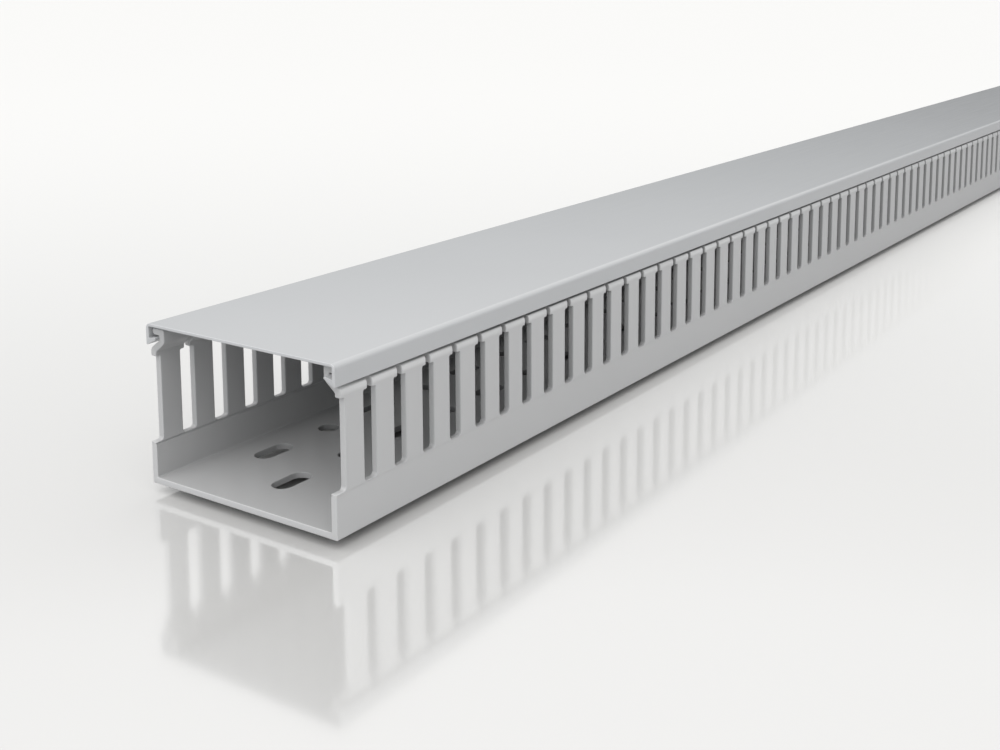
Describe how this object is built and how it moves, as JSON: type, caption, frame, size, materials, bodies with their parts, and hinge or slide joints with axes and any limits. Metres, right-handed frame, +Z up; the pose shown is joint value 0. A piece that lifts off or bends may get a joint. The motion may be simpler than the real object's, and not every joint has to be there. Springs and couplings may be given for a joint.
{
  "type": "slotted wire duct",
  "caption": "Rectangular plastic wiring duct lying flat, with toothed slotted walls, a perforated floor and a clip-on cover that slides lengthwise.",
  "frame": {"origin": "middle of the underside of the floor, halfway along the length", "axes": "+Z up out of the open side of the channel, +Y along the length, +X across the width"},
  "size_m": [0.0758, 1, 0.05],
  "materials": {
    "base_pvc": "satin light grey PVC, plain extruded surface",
    "cover_pvc": "satin light grey PVC, slightly smoother than the base"
  },
  "bodies": {
    "base": {"base_channel": "base_pvc"},
    "cover": {"cover": "cover_pvc"}
  },
  "joints": [
    {"name": "cover_slide", "type": "slide", "parent": "base", "child": "cover", "axis": [0, 1, 0], "range_m": [-0.5, 0.5]}
  ]
}
